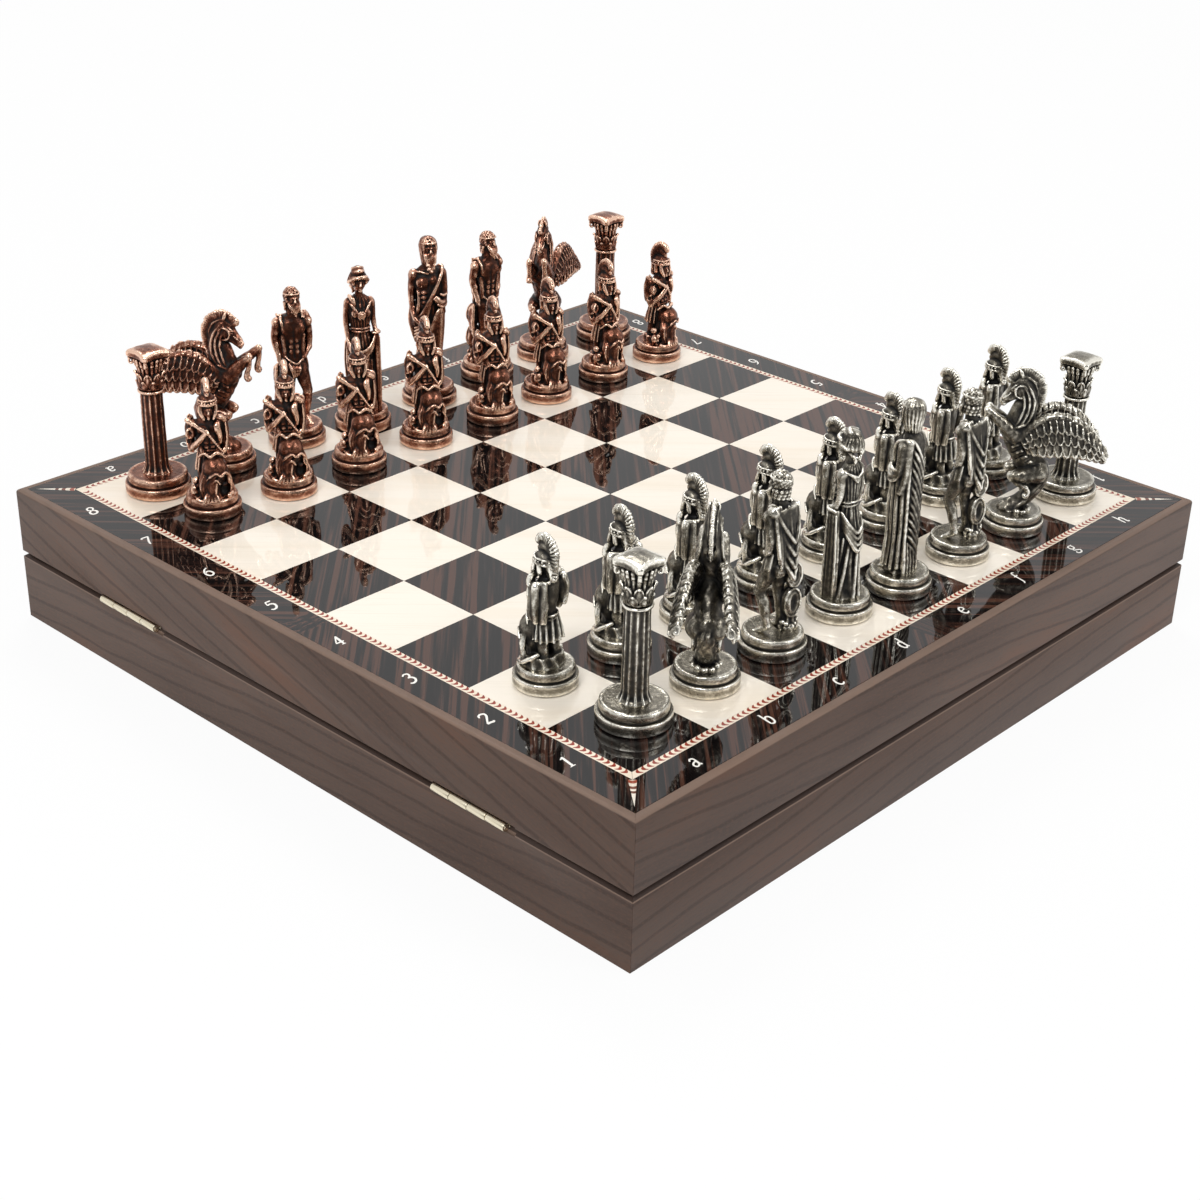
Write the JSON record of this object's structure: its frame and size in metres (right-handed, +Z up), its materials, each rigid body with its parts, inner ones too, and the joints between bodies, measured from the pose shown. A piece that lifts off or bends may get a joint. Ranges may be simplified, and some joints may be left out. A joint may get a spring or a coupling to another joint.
{
  "type": "chess set with storage box",
  "caption": "Folding board box with inlaid playing surface, slotted tray and cast figure chessmen standing at the start of a game",
  "frame": {"origin": "centre of the underside of the box, on the surface it stands on", "axes": "+X from file a to file h, away from the hinged side; +Y from rank 1 to rank 8; +Z up"},
  "size_m": [0.3718, 0.37, 0.1458],
  "materials": {
    "walnut_veneer": "satin lacquered walnut veneer over fibreboard",
    "bottom_board": "plain walnut-faced board",
    "board_core": "raw fibreboard core under the veneers",
    "ebony_veneer": "high-gloss lacquered dark striped veneer",
    "border_ebony": "high-gloss lacquered dark striped veneer",
    "maple_veneer": "high-gloss lacquered pale maple veneer",
    "banding": "high-gloss inlaid banding with a chevron pattern",
    "dart_inlay": "high-gloss inlaid darts in pale and red-brown wood",
    "tray_velvet": "dark red velvet over card and board",
    "hinge_brass": "polished brass",
    "screw_steel": "countersunk steel screws",
    "magnet_nickel": "nickel-plated disc magnets",
    "antique_silver": "zinc-alloy casting, antique silver plate with dark recesses and a felt foot",
    "antique_copper": "zinc-alloy casting, antique copper plate with dark recesses and a felt foot"
  },
  "bodies": {
    "base": {"base_front_wall": "walnut_veneer", "base_right_wall": "walnut_veneer", "base_rear_wall": "walnut_veneer", "base_left_wall": "walnut_veneer", "base_bottom_panel": "bottom_board", "tray_floor": "tray_velvet", "tray_cross_ribs": "tray_velvet", "tray_slot_ribs": "tray_velvet", "hinge_base_leaves": "hinge_brass", "hinge_pins": "hinge_brass", "hinge_base_screws": "screw_steel", "base_magnets": "magnet_nickel"},
    "lid": {"lid_front_wall": "walnut_veneer", "lid_right_wall": "walnut_veneer", "lid_rear_wall": "walnut_veneer", "lid_left_wall": "walnut_veneer", "lid_board_panel": "board_core", "dark_squares": "ebony_veneer", "light_squares": "maple_veneer", "border_veneer": "border_ebony", "inlay_banding": "banding", "corner_darts": "dart_inlay", "lid_lining": "tray_velvet", "hinge_lid_leaves": "hinge_brass", "hinge_lid_screws": "screw_steel", "lid_magnets": "magnet_nickel"},
    "silver_rook_a1": {"silver_rook_a1": "antique_silver"},
    "silver_knight_b1": {"silver_knight_b1": "antique_silver"},
    "silver_bishop_c1": {"silver_bishop_c1": "antique_silver"},
    "silver_queen_d1": {"silver_queen_d1": "antique_silver"},
    "silver_king_e1": {"silver_king_e1": "antique_silver"},
    "silver_bishop_f1": {"silver_bishop_f1": "antique_silver"},
    "silver_knight_g1": {"silver_knight_g1": "antique_silver"},
    "silver_rook_h1": {"silver_rook_h1": "antique_silver"},
    "silver_pawn_a2": {"silver_pawn_a2": "antique_silver"},
    "silver_pawn_b2": {"silver_pawn_b2": "antique_silver"},
    "silver_pawn_c2": {"silver_pawn_c2": "antique_silver"},
    "silver_pawn_d2": {"silver_pawn_d2": "antique_silver"},
    "silver_pawn_e2": {"silver_pawn_e2": "antique_silver"},
    "silver_pawn_f2": {"silver_pawn_f2": "antique_silver"},
    "silver_pawn_g2": {"silver_pawn_g2": "antique_silver"},
    "silver_pawn_h2": {"silver_pawn_h2": "antique_silver"},
    "copper_rook_a8": {"copper_rook_a8": "antique_copper"},
    "copper_knight_b8": {"copper_knight_b8": "antique_copper"},
    "copper_bishop_c8": {"copper_bishop_c8": "antique_copper"},
    "copper_queen_d8": {"copper_queen_d8": "antique_copper"},
    "copper_king_e8": {"copper_king_e8": "antique_copper"},
    "copper_bishop_f8": {"copper_bishop_f8": "antique_copper"},
    "copper_knight_g8": {"copper_knight_g8": "antique_copper"},
    "copper_rook_h8": {"copper_rook_h8": "antique_copper"},
    "copper_pawn_a7": {"copper_pawn_a7": "antique_copper"},
    "copper_pawn_b7": {"copper_pawn_b7": "antique_copper"},
    "copper_pawn_c7": {"copper_pawn_c7": "antique_copper"},
    "copper_pawn_d7": {"copper_pawn_d7": "antique_copper"},
    "copper_pawn_e7": {"copper_pawn_e7": "antique_copper"},
    "copper_pawn_f7": {"copper_pawn_f7": "antique_copper"},
    "copper_pawn_g7": {"copper_pawn_g7": "antique_copper"},
    "copper_pawn_h7": {"copper_pawn_h7": "antique_copper"}
  },
  "joints": [
    {"name": "lid_hinge", "type": "hinge", "parent": "base", "child": "lid", "pos_m": [-0.1852, 0, 0.0314], "axis": [0, -1, 0], "range_deg": [0, 180]},
    {"name": "silver_rook_a1_lift", "type": "slide", "parent": "lid", "child": "silver_rook_a1", "axis": [0, 0, 1], "range_m": [0, 0.1]},
    {"name": "silver_knight_b1_lift", "type": "slide", "parent": "lid", "child": "silver_knight_b1", "axis": [0, 0, 1], "range_m": [0, 0.1]},
    {"name": "silver_bishop_c1_lift", "type": "slide", "parent": "lid", "child": "silver_bishop_c1", "axis": [0, 0, 1], "range_m": [0, 0.1]},
    {"name": "silver_queen_d1_lift", "type": "slide", "parent": "lid", "child": "silver_queen_d1", "axis": [0, 0, 1], "range_m": [0, 0.1]},
    {"name": "silver_king_e1_lift", "type": "slide", "parent": "lid", "child": "silver_king_e1", "axis": [0, 0, 1], "range_m": [0, 0.1]},
    {"name": "silver_bishop_f1_lift", "type": "slide", "parent": "lid", "child": "silver_bishop_f1", "axis": [0, 0, 1], "range_m": [0, 0.1]},
    {"name": "silver_knight_g1_lift", "type": "slide", "parent": "lid", "child": "silver_knight_g1", "axis": [0, 0, 1], "range_m": [0, 0.1]},
    {"name": "silver_rook_h1_lift", "type": "slide", "parent": "lid", "child": "silver_rook_h1", "axis": [0, 0, 1], "range_m": [0, 0.1]},
    {"name": "silver_pawn_a2_lift", "type": "slide", "parent": "lid", "child": "silver_pawn_a2", "axis": [0, 0, 1], "range_m": [0, 0.1]},
    {"name": "silver_pawn_b2_lift", "type": "slide", "parent": "lid", "child": "silver_pawn_b2", "axis": [0, 0, 1], "range_m": [0, 0.1]},
    {"name": "silver_pawn_c2_lift", "type": "slide", "parent": "lid", "child": "silver_pawn_c2", "axis": [0, 0, 1], "range_m": [0, 0.1]},
    {"name": "silver_pawn_d2_lift", "type": "slide", "parent": "lid", "child": "silver_pawn_d2", "axis": [0, 0, 1], "range_m": [0, 0.1]},
    {"name": "silver_pawn_e2_lift", "type": "slide", "parent": "lid", "child": "silver_pawn_e2", "axis": [0, 0, 1], "range_m": [0, 0.1]},
    {"name": "silver_pawn_f2_lift", "type": "slide", "parent": "lid", "child": "silver_pawn_f2", "axis": [0, 0, 1], "range_m": [0, 0.1]},
    {"name": "silver_pawn_g2_lift", "type": "slide", "parent": "lid", "child": "silver_pawn_g2", "axis": [0, 0, 1], "range_m": [0, 0.1]},
    {"name": "silver_pawn_h2_lift", "type": "slide", "parent": "lid", "child": "silver_pawn_h2", "axis": [0, 0, 1], "range_m": [0, 0.1]},
    {"name": "copper_rook_a8_lift", "type": "slide", "parent": "lid", "child": "copper_rook_a8", "axis": [0, 0, 1], "range_m": [0, 0.1]},
    {"name": "copper_knight_b8_lift", "type": "slide", "parent": "lid", "child": "copper_knight_b8", "axis": [0, 0, 1], "range_m": [0, 0.1]},
    {"name": "copper_bishop_c8_lift", "type": "slide", "parent": "lid", "child": "copper_bishop_c8", "axis": [0, 0, 1], "range_m": [0, 0.1]},
    {"name": "copper_queen_d8_lift", "type": "slide", "parent": "lid", "child": "copper_queen_d8", "axis": [0, 0, 1], "range_m": [0, 0.1]},
    {"name": "copper_king_e8_lift", "type": "slide", "parent": "lid", "child": "copper_king_e8", "axis": [0, 0, 1], "range_m": [0, 0.1]},
    {"name": "copper_bishop_f8_lift", "type": "slide", "parent": "lid", "child": "copper_bishop_f8", "axis": [0, 0, 1], "range_m": [0, 0.1]},
    {"name": "copper_knight_g8_lift", "type": "slide", "parent": "lid", "child": "copper_knight_g8", "axis": [0, 0, 1], "range_m": [0, 0.1]},
    {"name": "copper_rook_h8_lift", "type": "slide", "parent": "lid", "child": "copper_rook_h8", "axis": [0, 0, 1], "range_m": [0, 0.1]},
    {"name": "copper_pawn_a7_lift", "type": "slide", "parent": "lid", "child": "copper_pawn_a7", "axis": [0, 0, 1], "range_m": [0, 0.1]},
    {"name": "copper_pawn_b7_lift", "type": "slide", "parent": "lid", "child": "copper_pawn_b7", "axis": [0, 0, 1], "range_m": [0, 0.1]},
    {"name": "copper_pawn_c7_lift", "type": "slide", "parent": "lid", "child": "copper_pawn_c7", "axis": [0, 0, 1], "range_m": [0, 0.1]},
    {"name": "copper_pawn_d7_lift", "type": "slide", "parent": "lid", "child": "copper_pawn_d7", "axis": [0, 0, 1], "range_m": [0, 0.1]},
    {"name": "copper_pawn_e7_lift", "type": "slide", "parent": "lid", "child": "copper_pawn_e7", "axis": [0, 0, 1], "range_m": [0, 0.1]},
    {"name": "copper_pawn_f7_lift", "type": "slide", "parent": "lid", "child": "copper_pawn_f7", "axis": [0, 0, 1], "range_m": [0, 0.1]},
    {"name": "copper_pawn_g7_lift", "type": "slide", "parent": "lid", "child": "copper_pawn_g7", "axis": [0, 0, 1], "range_m": [0, 0.1]},
    {"name": "copper_pawn_h7_lift", "type": "slide", "parent": "lid", "child": "copper_pawn_h7", "axis": [0, 0, 1], "range_m": [0, 0.1]}
  ]
}
